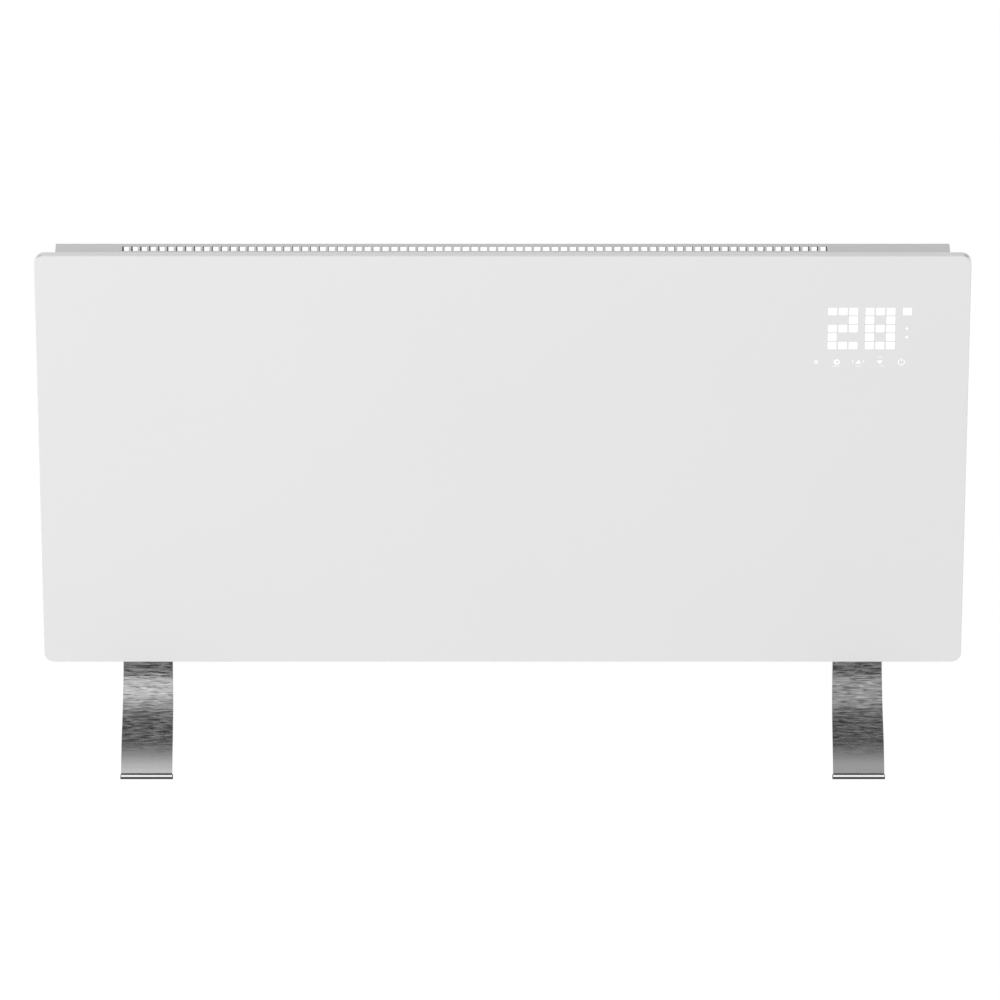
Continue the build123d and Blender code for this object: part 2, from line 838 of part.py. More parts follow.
with BuildPart() as lead_grommets:
    grommet_face = (partition_x - grommet_flange, partition_x + partition_sheet + grommet_flange)
    for lead_y, lead_z in grommet_points:
        centre = (0, lead_y, lead_z)
        bar(grommet_flange_radius, "x", grommet_face[0], partition_x, centre)
        bar(grommet_radius, "x", partition_x, partition_x + partition_sheet, centre)
        bar(grommet_flange_radius, "x", partition_x + partition_sheet, grommet_face[1], centre)
        bar(lead_radius, "x", grommet_face[0], grommet_face[1], centre, mode=Mode.SUBTRACT)
save(lead_grommets, "lead_grommets")

shield_left = -cap_inner_x + shield_side_gap
shield_z = (shield_bottom, shield_top)
shield_tab_lows = [
    shield_bottom + shield_tab_margin,
    shield_top - shield_tab_margin - shield_tab_height,
]
with BuildPart() as heat_shield:
    slab((shield_left, partition_x), (shield_y, shield_back_y), shield_z)
    slab((partition_x - shield_sheet, partition_x), (shield_y, shield_y + shield_flange), shield_z)
    for tab_low in shield_tab_lows:
        tab = (tab_low, tab_low + shield_tab_height)
        slab((-cap_inner_x, shield_left), (shield_y, shield_back_y), tab)
        slab((-cap_inner_x, -cap_inner_x + shield_sheet), (shield_y, shield_y + shield_flange), tab)
save(heat_shield, "heat_shield")

for name, element_z in zip(("lower", "upper"), element_zs):
    with BuildPart() as element:
        with BuildSketch(Plane.YZ.offset(element_x - element_half)):
            with Locations((element_y, element_z)):
                Circle(element_core_radius)
                for angle in (element_wing_angle, -element_wing_angle):
                    Rectangle(2 * element_wing, element_wing_thickness, rotation=angle)
                Circle(rod_radius + rod_gap / 2, mode=Mode.SUBTRACT)
        extrude(amount=2 * element_half)
    save(element, f"{name}_heating_element")

    with BuildPart() as rod:
        centre = (0, element_y, element_z)
        bar(rod_radius, "x", element_x - rod_half, element_x + rod_half, centre)
        bar(pin_radius, "x", element_x - rod_end, element_x + rod_end, centre)
    save(rod, f"{name}_heating_rod")

bracket_y = (element_y - bracket_margin, inner_rear_y)
bracket_z = (element_zs[0] - bracket_margin, element_zs[-1] + bracket_margin)
for name, turn in (("left", -1), ("right", 1)):
    plate = sorted((bracket_xs[name], bracket_xs[name] + turn * bracket_sheet))
    with BuildPart() as element_bracket:
        slab(plate, bracket_y, bracket_z)
        flange_end = bracket_xs[name] + turn * (bracket_sheet + bracket_flange)
        flange = sorted((bracket_xs[name], flange_end))
        slab(flange, (inner_rear_y - bracket_sheet, inner_rear_y), bracket_z)
        for element_z in element_zs:
            centre = (0, element_y, element_z)
            bar(bush_radius + hole_gap, "x", plate[0], plate[1], centre, mode=Mode.SUBTRACT)
        for screw_z in bracket_screw_zs:
            centre = (bracket_xs[name] + turn * (bracket_sheet + bracket_flange) / 2, 0, screw_z)
            bar(
                small_screw_radius + hole_gap,
                "y",
                inner_rear_y - bracket_sheet,
                inner_rear_y,
                centre,
                mode=Mode.SUBTRACT,
            )
    save(element_bracket, f"{name}_element_bracket")

with BuildPart() as element_bushes:
    for turn, bracket_x in ((-1, bracket_xs["left"]), (1, bracket_xs["right"])):
        outer_face = bracket_x + turn * bracket_sheet
        for element_z in element_zs:
            centre = (0, element_y, element_z)
            collar = sorted((outer_face, outer_face + turn * bush_collar))
            inner_end = outer_face - turn * (bush_length - bush_collar)
            body = sorted((outer_face + turn * bush_collar, inner_end))
            bar(bush_radius, "x", body[0], body[1], centre)
            bar(bush_collar_radius, "x", collar[0], collar[1], centre)
            bar(rod_radius + rod_gap / 2, "x", body[0], body[1], centre, mode=Mode.SUBTRACT)
save(element_bushes, "element_bushes")

with BuildPart() as thermal_cutout:
    bar(cutout_radius, "y", shield_back_y, cutout_face_y, (element_x, 0, cutout_z))
    for tag_x in cutout_tag_xs:
        slab(
            (tag_x - cutout_tag / 2, tag_x + cutout_tag / 2),
            (cutout_face_y, cutout_face_y + cutout_tag_reach),
            (cutout_z - cutout_tag_sheet / 2, cutout_z + cutout_tag_sheet / 2),
        )
save(thermal_cutout, "thermal_cutout")

with BuildPart() as sensor_clip:
    slab(
        (sensor_x - sensor_clip_length / 2, sensor_x + sensor_clip_length / 2),
        (sensor_y - sensor_clip_width / 2, sensor_y + sensor_clip_width / 2),
        (inner_bottom, inner_bottom + sensor_clip_height),
    )
    bar(
        sensor_radius + rod_gap / 2,
        "x",
        sensor_x - sensor_clip_length / 2,
        sensor_x + sensor_clip_length / 2,
        (0, sensor_y, sensor_z),
        mode=Mode.SUBTRACT,
    )
save(sensor_clip, "sensor_clip")

with BuildPart() as room_sensor:
    bar(
        sensor_radius,
        "x",
        sensor_x - sensor_length / 2,
        sensor_x + sensor_length / 2,
        (0, sensor_y, sensor_z),
    )
save(room_sensor, "room_sensor")

# ---- electronics ----------------------------------------------------------------------------
with BuildPart() as power_board:
    slab(board_x, (board_front_y, board_back_y), board_z)
save(power_board, "power_board")

with BuildPart() as board_standoffs:
    for standoff_x in (board_x[0] + standoff_inset, board_x[1] - standoff_inset):
        for standoff_z in (board_z[0] + standoff_inset, board_z[1] - standoff_inset):
            bar(standoff_radius, "y", board_back_y, inner_rear_y, (standoff_x, 0, standoff_z))
save(board_standoffs, "board_standoffs")

relay_z = (board_z[0] + 2 * standoff_inset, board_z[0] + 2 * standoff_inset + relay_height)
relay_xs = [board_x[0] + 2 * standoff_inset + relay_width / 2, board_middle + relay_width / 2]
with BuildPart() as heater_relays:
    for relay_x in relay_xs:
        slab(
            (relay_x - relay_width / 2, relay_x + relay_width / 2),
            (board_front_y - relay_depth, board_front_y),
            relay_z,
        )
save(heater_relays, "heater_relays")

supply_z = (relay_z[1] + standoff_inset, relay_z[1] + standoff_inset + supply_height)
with BuildPart() as power_supply:
    slab(
        (board_x[0] + standoff_inset, board_x[0] + standoff_inset + supply_width),
        (board_front_y - supply_depth, board_front_y),
        supply_z,
    )
save(power_supply, "power_supply")

with BuildPart() as buzzer:
    centre = (board_x[1] - 3 * standoff_inset, 0, sum(supply_z) / 2)
    bar(buzzer_radius, "y", board_front_y - buzzer_depth, board_front_y, centre)
save(buzzer, "buzzer")

header_z = (board_z[1] - 2 * standoff_inset - header_height, board_z[1] - 2 * standoff_inset)
header_y = (board_front_y - header_depth, board_front_y)
header_xs = [ribbon_x, board_middle - board_width / 4]
with BuildPart() as board_headers:
    for header_x in header_xs:
        slab((header_x - header_width / 2, header_x + header_width / 2), header_y, header_z)
save(board_headers, "board_headers")

terminal_z = (casing_bottom + terminal_rise, casing_bottom + terminal_rise + terminal_height)
terminal_x = (board_middle - terminal_width / 2, board_middle + terminal_width / 2)
terminal_pitch = terminal_width / terminal_poles
pole_xs = [terminal_x[0] + (pole + 0.5) * terminal_pitch for pole in range(terminal_poles)]
terminal_front_y = inner_rear_y - terminal_depth
clamp_radius = terminal_pitch / 4
clamp_end_y = terminal_front_y + terminal_depth / 2
with BuildPart() as terminal_block:
    slab(terminal_x, (terminal_front_y, inner_rear_y), terminal_z)
    for pole_x in pole_xs:
        centre = (pole_x, 0, sum(terminal_z) / 2)
        bar(
            clamp_radius + hole_gap,
            "y",
            terminal_front_y,
            clamp_end_y,
            centre,
            mode=Mode.SUBTRACT,
        )
save(terminal_block, "terminal_block")

with BuildPart() as terminal_screws:
    for pole_x in pole_xs:
        centre = (pole_x, 0, sum(terminal_z) / 2)
        bar(clamp_radius, "y", terminal_front_y + small_head_height, clamp_end_y, centre)
save(terminal_screws, "terminal_screws")

gland_top = casing_bottom + gland_stem
gland_low = casing_bottom - gland_flange - gland_dome
with BuildPart() as cable_gland:
    centre = (gland_x, gland_y, 0)
    bar(gland_flange_radius, "z", casing_bottom - gland_flange, casing_bottom, centre)
    bar(gland_stem_radius, "z", casing_bottom, gland_top, centre)
    with Locations((gland_x, gland_y, casing_bottom - gland_flange - gland_dome / 2)):
        Cone(gland_dome_radius, gland_flange_radius - gland_shoulder, gland_dome)
    bar(gland_bore_radius, "z", gland_low, gland_top, centre, mode=Mode.SUBTRACT)
save(cable_gland, "cable_gland")

with BuildPart() as gland_nut:
    with BuildSketch(Plane.XY.offset(inner_bottom)):
        with Locations((gland_x, gland_y)):
            RegularPolygon(gland_flange_radius, 6)
            Circle(gland_stem_radius + rod_gap / 2, mode=Mode.SUBTRACT)
    extrude(amount=gland_nut_height)
save(gland_nut, "gland_nut")

# ---- rocker mains switch --------------------------------------------------------------------
switch_face_x = casing_x + switch_flange_thickness
switch_back_x = casing_x - switch_depth
rocker_pivot_x = casing_x - rocker_pivot_inset
cavity_span_y = grow(switch_span_y, -switch_wall)
cavity_span_z = grow(switch_span_z, -switch_wall)
switch_tag_zs = [switch_z - switch_cut_z / 4, switch_z + switch_cut_z / 4]
rocker_pin_reach = switch_wall / 2
with BuildPart() as switch_frame:
    slab((switch_back_x, casing_x), switch_span_y, switch_span_z)
    slab(
        (casing_x, switch_face_x),
        grow(switch_span_y, switch_flange),
        grow(switch_span_z, switch_flange),
    )
    slab(
        (rocker_pivot_x - switch_cavity_depth, switch_face_x),
        cavity_span_y,
        cavity_span_z,
        mode=Mode.SUBTRACT,
    )
    bar(
        rocker_pin_radius + rocker_pin_gap,
        "y",
        cavity_span_y[0] - rocker_pin_reach - fit_gap,
        cavity_span_y[1] + rocker_pin_reach + fit_gap,
        (rocker_pivot_x, 0, switch_z),
        mode=Mode.SUBTRACT,
    )
    for tag_z in switch_tag_zs:
        slab(
            (switch_back_x - switch_tag_length, switch_back_x),
            (switch_y - switch_tag_sheet / 2, switch_y + switch_tag_sheet / 2),
            (tag_z - switch_tag_width / 2, tag_z + switch_tag_width / 2),
        )
save(switch_frame, "switch_frame")

# the rocker's side view (x from the pivot, z), level, before it is tilted to its off position
wing_rise = rocker_rise + rocker_half_length * tan(radians(rocker_tilt))
rocker_outline = [
    (rocker_rise, 0),
    (wing_rise, rocker_half_length),
    (-rocker_waist_drop, rocker_waist_half),
    (-rocker_drop, rocker_foot_half),
    (-rocker_drop, -rocker_foot_half),
    (-rocker_waist_drop, -rocker_waist_half),
    (wing_rise, -rocker_half_length),
]
rocker_span_y = grow(cavity_span_y, -rocker_gap)
tilt = radians(-rocker_tilt)
tilted = [
    (
        rocker_pivot_x + x * cos(tilt) + z * sin(tilt),
        switch_z - x * sin(tilt) + z * cos(tilt),
    )
    for x, z in rocker_outline
]
with BuildPart() as switch_rocker:
    with BuildSketch(Plane.XZ.offset(-rocker_span_y[0])):
        with BuildLine():
            Polyline(*tilted, close=True)
        make_face()
    extrude(amount=-(rocker_span_y[1] - rocker_span_y[0]))
    bar(
        rocker_pin_radius,
        "y",
        cavity_span_y[0] - rocker_pin_reach,
        cavity_span_y[1] + rocker_pin_reach,
        (rocker_pivot_x, 0, switch_z),
    )
save(switch_rocker, "switch_rocker")

# ---- tip-over switch ------------------------------------------------------------------------
tilt_base_x = partition_x + partition_sheet
tilt_inner = (tilt_base_x + tilt_sheet, tilt_base_x + tilt_sheet + tilt_width)
tilt_outer_x = tilt_inner[1] + tilt_sheet
tilt_mid_x = sum(tilt_inner) / 2
tilt_span_y = (tilt_y - tilt_plate_half, tilt_y + tilt_plate_half)
tilt_top = tilt_z + tilt_plate_above
with BuildPart() as tilt_bracket:
    slab((tilt_base_x, tilt_inner[0]), tilt_span_y, (tilt_z - tilt_plate_below, tilt_top))
    slab((tilt_base_x, tilt_outer_x), tilt_span_y, (tilt_top - tilt_sheet, tilt_top))
    slab((tilt_inner[1], tilt_outer_x), tilt_span_y, (tilt_z - tilt_ear_below, tilt_top))
    bar(
        tilt_pin_radius + tilt_pin_gap,
        "x",
        tilt_base_x,
        tilt_outer_x,
        (0, tilt_y, tilt_z),
        mode=Mode.SUBTRACT,
    )
save(tilt_bracket, "tilt_bracket")

weight_z = tilt_z - tilt_arm
flag_low_z = weight_z - tilt_weight_radius - tilt_flag_length
with BuildPart() as tilt_pendulum:
    pivot = (0, tilt_y, tilt_z)
    bar(tilt_pin_radius, "x", tilt_base_x + fit_gap, tilt_outer_x, pivot)
    bar(tilt_hub_radius, "x", tilt_inner[0] + tilt_hub_gap, tilt_inner[1] - tilt_hub_gap, pivot)
    slab(
        (tilt_mid_x - tilt_arm_width / 2, tilt_mid_x + tilt_arm_width / 2),
        (tilt_y - tilt_arm_width / 2, tilt_y + tilt_arm_width / 2),
        (weight_z, tilt_z),
    )
    bar(
        tilt_weight_radius,
        "x",
        tilt_mid_x - tilt_weight_width / 2,
        tilt_mid_x + tilt_weight_width / 2,
        (0, tilt_y, weight_z),
    )
    slab(
        (tilt_mid_x - tilt_flag_thickness / 2, tilt_mid_x + tilt_flag_thickness / 2),
        (tilt_y - tilt_flag_width / 2, tilt_y + tilt_flag_width / 2),
        (flag_low_z, weight_z),
    )
save(tilt_pendulum, "tilt_pendulum")

fork_top = weight_z - tilt_weight_radius - fork_flag_gap
fork_low = flag_low_z - fork_flag_gap - fork_base
with BuildPart() as tilt_sensor:
    fork_y = (tilt_y - fork_depth / 2, tilt_y + fork_depth / 2)
    fork_x = (tilt_inner[0], tilt_mid_x + fork_gap / 2 + fork_prong)
    slab(fork_x, fork_y, (fork_low, fork_top))
    slab(
        (tilt_mid_x - fork_gap / 2, tilt_mid_x + fork_gap / 2),
        fork_y,
        (fork_low + fork_base, fork_top),
        mode=Mode.SUBTRACT,
    )
save(tilt_sensor, "tilt_sensor")

# ---- wiring: round leads along straight runs joined by tangent arcs ---------------------------
lead_up_y = board_front_y - relay_depth / 2
link_x = element_x - rod_end
heater_routes = [
    [
        (element_x + rod_end, element_y, element_z),
        (relay_x, element_y, element_z),
        (relay_x, lead_up_y, relay_z[0] - 3 * lead_bend),
        (relay_x, lead_up_y, relay_z[0]),
    ]
    for relay_x, element_z in zip(relay_xs, element_zs)
]
heater_routes.append(
    [
        (link_x, element_y, element_zs[0]),
        (link_x - link_reach, element_y, element_zs[0]),
        (link_x - link_reach, element_y, element_zs[-1]),
        (link_x, element_y, element_zs[-1]),
    ]
)

cutout_end_x = board_x[0] + cutout_lead_side
cutout_routes = [
    [
        (cutout_tag_xs[1] + cutout_tag / 2, cutout_lead_y, cutout_lead_zs[0]),
        (cutout_end_x, cutout_lead_y, cutout_lead_zs[0]),
        (cutout_end_x, board_front_y, cutout_lead_zs[0]),
    ],
    [
        (cutout_tag_xs[0], cutout_lead_y, cutout_z + cutout_tag_sheet / 2),
        (cutout_tag_xs[0], cutout_lead_y, cutout_lead_zs[1]),
        (cutout_end_x + cutout_lead_side, cutout_lead_y, cutout_lead_zs[1]),
        (cutout_end_x + cutout_lead_side, board_front_y, cutout_lead_zs[1]),
    ],
]

header_mid = (sum(header_y) / 2, sum(header_z) / 2)
sensor_riser_x = (tilt_base_x + board_x[0]) / 2
sensor_route = [
    (sensor_x + sensor_length / 2, sensor_y, sensor_z),
    (sensor_riser_x, sensor_y, sensor_z),
    (sensor_riser_x, header_mid[0], header_mid[1]),
    (header_xs[1] - header_width / 2, header_mid[0], header_mid[1]),
]

tag_end_x = switch_back_x - switch_tag_length
switched_x = tag_end_x - 3 * lead_bend / 2
live_x = pole_xs[-1]
neutral_x = pole_xs[1]
neutral_y = board_front_y - 3 * lead_bend / 2
neutral_z = board_z[0] + 3 * lead_bend / 2
mains_routes = [
    [
        (live_x, clamp_end_y, terminal_z[1]),
        (live_x, clamp_end_y, terminal_z[1] + 4 * lead_bend),
        (live_x, switch_y, switch_tag_zs[0]),
        (tag_end_x, switch_y, switch_tag_zs[0]),
    ],
    [
        (tag_end_x, switch_y, switch_tag_zs[1]),
        (switched_x, switch_y, switch_tag_zs[1]),
        (switched_x, board_front_y, switch_tag_zs[1]),
    ],
    [
        (neutral_x, neutral_y, terminal_z[1]),
        (neutral_x, neutral_y, neutral_z),
        (neutral_x, board_front_y, neutral_z),
    ],
]

for name, routes in (
    ("heater_leads", heater_routes),
    ("cutout_leads", cutout_routes),
    ("sensor_lead", [sensor_route]),
    ("mains_leads", mains_routes),
):
    with BuildPart() as leads:
        for points in routes:
            with BuildLine() as route:
                FilletPolyline(*points, radius=lead_bend)
            with BuildSketch(Plane(origin=route.line @ 0, z_dir=route.line % 0)):
                Circle(lead_radius)
            sweep(path=route.line)
    save(leads, name)

earth_z = terminal_z[1] + earth_stud_rise
with BuildPart() as earth_stud:
    centre = (pole_xs[0], 0, earth_z)
    bar(earth_stud_radius, "y", inner_rear_y - earth_stud_length, inner_rear_y, centre)
    bar(earth_nut_radius, "y", inner_rear_y - earth_nut_height, inner_rear_y, centre)
save(earth_stud, "earth_stud")

with BuildPart() as earth_lead:
    centre = (pole_xs[0], inner_rear_y - earth_nut_height / 2, 0)
    bar(lead_radius, "z", terminal_z[1], earth_z - earth_nut_radius, centre)
save(earth_lead, "earth_lead")

with BuildPart() as display_ribbon:
    with BuildSketch(Plane.YZ.offset(ribbon_x - ribbon_width / 2)):
        with BuildLine():
            FilletPolyline(
                (ribbon_y, guide_z[0] + ribbon_overlap),
                (ribbon_y, housing_z[0] - ribbon_drop),
                (header_mid[0], header_z[1] + ribbon_drop),
                (header_mid[0], header_z[1]),
                radius=lead_bend,
            )
        trace(line_width=ribbon_thickness)
    extrude(amount=ribbon_width)
save(display_ribbon, "display_ribbon")
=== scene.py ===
import json
from math import cos, pi, radians, sin

import bmesh
import bpy
from mathutils import Matrix, Vector


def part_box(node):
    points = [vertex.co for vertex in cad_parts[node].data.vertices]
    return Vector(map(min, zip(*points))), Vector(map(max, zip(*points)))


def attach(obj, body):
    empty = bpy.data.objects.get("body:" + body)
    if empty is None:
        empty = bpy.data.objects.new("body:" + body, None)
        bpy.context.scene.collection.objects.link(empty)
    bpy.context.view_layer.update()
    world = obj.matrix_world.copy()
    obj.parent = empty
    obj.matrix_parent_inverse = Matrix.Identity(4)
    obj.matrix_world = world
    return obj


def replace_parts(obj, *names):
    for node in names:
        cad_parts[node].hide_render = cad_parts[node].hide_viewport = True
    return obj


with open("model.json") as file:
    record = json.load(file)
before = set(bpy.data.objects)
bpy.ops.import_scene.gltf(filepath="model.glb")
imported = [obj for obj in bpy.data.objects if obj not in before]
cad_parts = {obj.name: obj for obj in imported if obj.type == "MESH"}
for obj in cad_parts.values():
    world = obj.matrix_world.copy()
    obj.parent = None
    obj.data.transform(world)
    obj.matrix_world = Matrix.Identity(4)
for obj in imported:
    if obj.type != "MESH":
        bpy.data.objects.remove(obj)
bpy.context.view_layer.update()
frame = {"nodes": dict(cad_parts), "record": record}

MM = 0.001
BODY = "heater"

# ---- camera: the photograph's place, pitch and focal length ---------------------------------
CAMERA_AT = (-0.0025, -7.69325, 4.516)
CAMERA_PITCH = 29.095
CAMERA_REACH = 200.0
FOCAL_PIXELS = 9413.0
IMAGE_SIDE = 1000.0
SENSOR = 36.0

# ---- display: the lit windows lie over the CAD's lamps and touch springs ---------------------
LED_SIZE = 3.0 * MM
BLOCK_WIDTH = 8.0 * MM
BLOCK_HEIGHT = 7.6 * MM
BLOCK_CORNER = 0.8 * MM
BLOCK_PITCH_X = 9.7 * MM
BLOCK_PITCH_Z = 8.87 * MM
DIGIT_PITCH = 34.35 * MM
DIGITS = {
    "2": ("111", "001", "111", "100", "111"),
    "8": ("111", "101", "111", "101", "111"),
}
READING = "28"
DOT_ROWS = (2, 3)
DOT_SIZE = 2.6 * MM
DOT_CORNER = 1.29 * MM
TOUCH_PITCH = 19.8 * MM
TOUCH_SHIFT = 3.9 * MM
SYMBOL_SHIFT = 0.6 * MM
PRINT_PROUD = 0.06 * MM
PRINT_SUNK = 0.05 * MM

# Touch symbols, in millimetres from the middle of their key. A bar is its centre's x and z, its
# width, height and corner radius. An arc is its radius and width, and its ends in degrees.
POWER_ARC = (2.9, 0.8, -235, 55)
POWER_BAR = (0.0, 2.4, 0.8, 3.0, 0.39)
ARROW_BASE, ARROW_TIP, ARROW_HALF_WIDTH = 1.6, 2.2, 2.8
TIMER_ARCS = ((2.2, 1.1, -90, 90), (1.9, 1.9, 90, 270))
MODE_BARS = ((0.0, 0.0, 3.4, 4.4, 0.8),)
TIMER_BARS = ((-0.8, -4.3, 6.6, 0.9, 0.3),)
UP_BARS = ((0.0, -4.3, 4.6, 0.9, 0.3), (-5.2, 0.6, 0.9, 4.0, 0.4), (4.8, 0.6, 0.9, 4.0, 0.4))
DOWN_BARS = ((0.0, 5.4, 4.0, 0.8, 0.3), (2.2, -4.0, 4.4, 0.8, 0.3))

# ---- mains switch: the print on the rocker ---------------------------------------------------
ROCKER_RISE = 2.2 * MM
ROCKER_TILT = 11.0
MARK_PLACE = 6.2 * MM
RING_RADIUS = 1.8 * MM
RING_WIDTH = 0.6 * MM
RING_STEPS = 32
STROKE_WIDTH = 0.7 * MM
STROKE_HEIGHT = 4.2 * MM
STROKE_CORNER = 0.2 * MM

# ---- screws: a pan head with a cross recess, on a plain shank --------------------------------
# The head's profile and the recess are shares of the head's radius and height.
HEAD_RINGS = ((1.0, 0.0), (1.0, 0.30), (0.93, 0.62), (0.78, 0.86), (0.55, 0.97), (0.0, 1.0))
RECESS_REACH = 0.58
RECESS_WIDTH = 0.15
RECESS_DEPTH = 0.62
RECESS_TAPER = 0.55
RECESS_TOP = 1.05
SCREW_SIDES = 32
SCREW_TURN = 37
LARGE_SCREW = dict(head_height=2.2 * MM, shank_radius=2.0 * MM)
SMALL_SCREW = dict(head_height=1.8 * MM, shank_radius=1.5 * MM)
SAME_POINT = 0.001 * MM

# ---- broken edges on the cut sheet and the mouldings -----------------------------------------
BEVEL_SEGMENTS = 2
BEVEL_ANGLE = 50
BROKEN_EDGES = (
    (0.25 * MM, ("left_foot", "right_foot")),
    (0.15 * MM, ("side_cap_left", "side_cap_right")),
    (0.30 * MM, ("switch_frame", "switch_rocker", "cable_gland", "gland_nut")),
)

# ---- studio: elevations in degrees, seen from the middle of the floor ------------------------
WORLD_LIGHT = 0.90
DOME_TOP = 0.55
KEY_WATTS = 75.0
KEY_SIZE = 2.5
KEY_AT = (-2.7, -3.1, 2.8)
KEY_AIM = (0, 0, 0.3)
FLOOR_REACH = 60.0
FLOOR_GLOW = 0.97
FLOOR_ALBEDO = 0.05
CARD_REACH = 10.0
CARD_RADIUS = 3.0
IN_FRONT, BEHIND = -1, 1
SOFTBOX_LOW = 33
SOFTBOX_HIGH = 62
SOFTBOX_LEFT = 1.0
SOFTBOX_RIGHT = 0.48
# Over its top edge the front light fades out in steps, at the right from a share of the left.
FADE_STEP = 7
FADE_LIGHTS = (0.76, 0.50, 0.30, 0.17, 0.09, 0.05)
FADE_RIGHT_SHARE = 0.76
SKIRT_LOW = 4
SKIRT_LIGHT = 0.012


# ---- node helpers ----------------------------------------------------------------------------
def new_material(name):
    """A node material, with its tree and its shader."""
    made = bpy.data.materials.new(name)
    made.use_nodes = True
    return made, made.node_tree, made.node_tree.nodes["Principled BSDF"]


def link(tree, source, target):
    tree.links.new(source, target)


def ramp(tree, factor, stops):
    """A colour ramp over (position, grey or colour) stops, fed by factor."""
    node = tree.nodes.new("ShaderNodeValToRGB")
    elements = node.color_ramp.elements
    while len(elements) < len(stops):
        elements.new(0.5)
    for element, (position, colour) in zip(elements, stops):
        element.position = position
        if isinstance(colour, (int, float)):
            colour = (colour,) * 3
        element.color = (*colour, 1.0)
    link(tree, factor, node.inputs["Fac"])
    return node.outputs["Color"]


def graded(tree, grain, low, high):
    """From low to high over the middle of a noise's range."""
    return ramp(tree, grain, ((0.3, low), (0.7, high)))


def surface_place(tree, output):
    """A surface point's Object place or Normal, or Generated for the sky's direction."""
    return tree.nodes.new("ShaderNodeTexCoord").outputs[output]


def along(tree, output, axis):
    """One axis of what surface_place gives."""
    split = tree.nodes.new("ShaderNodeSeparateXYZ")
    link(tree, surface_place(tree, output), split.inputs["Vector"])
    return split.outputs[axis]


def rise(tree, value, low, high, curve="LINEAR"):
    """0 where value is at low, 1 where it is at high."""
    level = tree.nodes.new("ShaderNodeMapRange")
    level.interpolation_type = curve
    level.inputs["From Min"].default_value = low
    level.inputs["From Max"].default_value = high
    link(tree, value, level.inputs["Value"])
    return level.outputs["Result"]


def facing(tree, axis, sign, low=0.80, high=0.95):
    """1 on faces that look along an axis of the object, 0 elsewhere."""
    return rise(tree, along(tree, "Normal", axis), sign * low, sign * high)


def noise(tree, scale, detail=4.0, roughness=0.55, distortion=0.0):
    """Noise in object space; scale is cells a metre, one number or one for each axis."""
    stretch = tree.nodes.new("ShaderNodeMapping")
    stretch.inputs["Scale"].default_value = scale if isinstance(scale, tuple) else (scale,) * 3
    link(tree, surface_place(tree, "Object"), stretch.inputs["Vector"])
    grain = tree.nodes.new("ShaderNodeTexNoise")
    grain.inputs["Scale"].default_value = 1.0
    grain.inputs["Detail"].default_value = detail
    grain.inputs["Roughness"].default_value = roughness
    grain.inputs["Distortion"].default_value = distortion
    link(tree, stretch.outputs["Vector"], grain.inputs["Vector"])
    return grain.outputs["Fac"]


def bump(tree, height, strength, distance):
    node = tree.nodes.new("ShaderNodeBump")
    node.inputs["Strength"].default_value = strength
    node.inputs["Distance"].default_value = distance
    link(tree, height, node.inputs["Height"])
    return node.outputs["Normal"]


def product(tree, first, second):
    node = tree.nodes.new("ShaderNodeMath")
    node.operation = "MULTIPLY"
    link(tree, first, node.inputs[0])
    link(tree, second, node.inputs[1])
    return node.outputs["Value"]


def mixed(tree, share, first, second):
    """Two factors mixed, with a share of the second."""
    node = tree.nodes.new("ShaderNodeMix")
    node.inputs["Factor"].default_value = share
    link(tree, first, node.inputs["A"])
    link(tree, second, node.inputs["B"])
    return node.outputs["Result"]


def blend_colours(tree, factor, first, second):
    """The first colour where factor is 0, the second where it is 1."""
    node = tree.nodes.new("ShaderNodeMix")
    node.data_type = "RGBA"
    link(tree, factor, node.inputs["Factor"])
    link(tree, first, node.inputs["A"])
    link(tree, second, node.inputs["B"])
    return node.outputs["Result"]


# ---- materials -------------------------------------------------------------------------------
GRAIN_DEPTH = 0.05 * MM

FOOT_WAVES = dict(scale=(85, 680, 600), detail=1.5, roughness=0.6, distortion=0.5)
FOOT_GRAIN = dict(scale=(30, 2600, 2600), detail=2.0)
FOOT_GRAIN_SHARE = 0.2
POLISHED_BELOW = 12 * MM
BRUSHED_ABOVE = 32 * MM
BRUSH_RELIEF = 0.60
BRUSH_DEPTH = 0.26 * MM

CRYSTALS = 180.0
RUN_PITCH = 1.6 * MM
BOARD_PATCHES = 55
BOARD_MOTTLE = 120


def shade(colour, factor):
    return tuple(min(1.0, channel * factor) for channel in colour)


def surface(name, colour, rough, grain, spread=0.04, relief=0.1, **sockets):
    """A material whose colour, roughness and relief follow one grain.

    rough is the (low, high) roughness, grain the noise's cells a metre, spread the colour's
    change either way, and sockets are plain values of the shader's own inputs.
    """
    made, tree, shader = new_material(name)
    for socket, value in sockets.items():
        shader.inputs[socket.replace("_", " ")].default_value = value
    cells = noise(tree, grain)
    tint = graded(tree, cells, shade(colour, 1 - spread), shade(colour, 1 + spread))
    link(tree, tint, shader.inputs["Base Color"])
    link(tree, graded(tree, cells, *rough), shader.inputs["Roughness"])
    link(tree, bump(tree, cells, relief, GRAIN_DEPTH), shader.inputs["Normal"])
    return made


def white_glass():
    """Polished glass with white paint on its back: a smooth coat over an even white."""
    return surface(
        "white_glass", (0.735,) * 3, rough=(0.30, 0.34), grain=4, spread=0.006, relief=0.02,
        Coat_Weight=1.0, Coat_Roughness=0.03, Coat_IOR=1.5, Specular_IOR_Level=0.2,
    )


